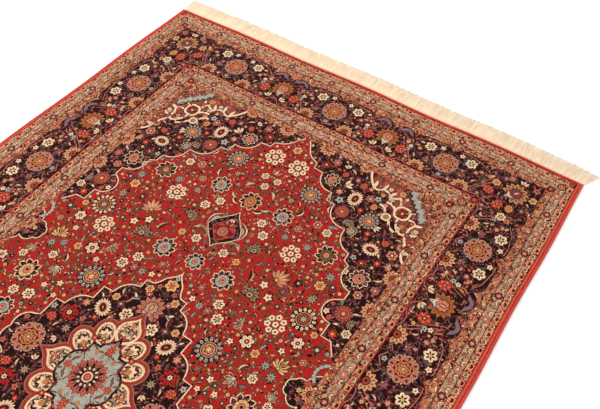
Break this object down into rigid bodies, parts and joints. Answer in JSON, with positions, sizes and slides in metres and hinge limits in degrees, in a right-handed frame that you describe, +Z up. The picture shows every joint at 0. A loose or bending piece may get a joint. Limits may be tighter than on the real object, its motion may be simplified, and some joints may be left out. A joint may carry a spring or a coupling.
{
  "type": "persian rug",
  "caption": "Flat rectangular hand-knotted wool rug with a red medallion field, dark flowered border, overcast sides and a cream cotton fringe at each end.",
  "frame": {"origin": "middle of the rug, on the floor under it", "axes": "+X across the rug, +Y along it towards the far fringe, +Z up out of the pile"},
  "size_m": [1.4428, 2.351, 0.009],
  "materials": {
    "pile_wool": "short cut wool pile",
    "selvedge_wool": "tightly overcast wool yarn",
    "fringe_cotton": "loose undyed cotton yarn"
  },
  "bodies": {
    "root": {"rug_body": "pile_wool", "selvedge_left": "selvedge_wool", "selvedge_right": "selvedge_wool", "fringe_far": "fringe_cotton", "fringe_near": "fringe_cotton"}
  },
  "joints": []
}
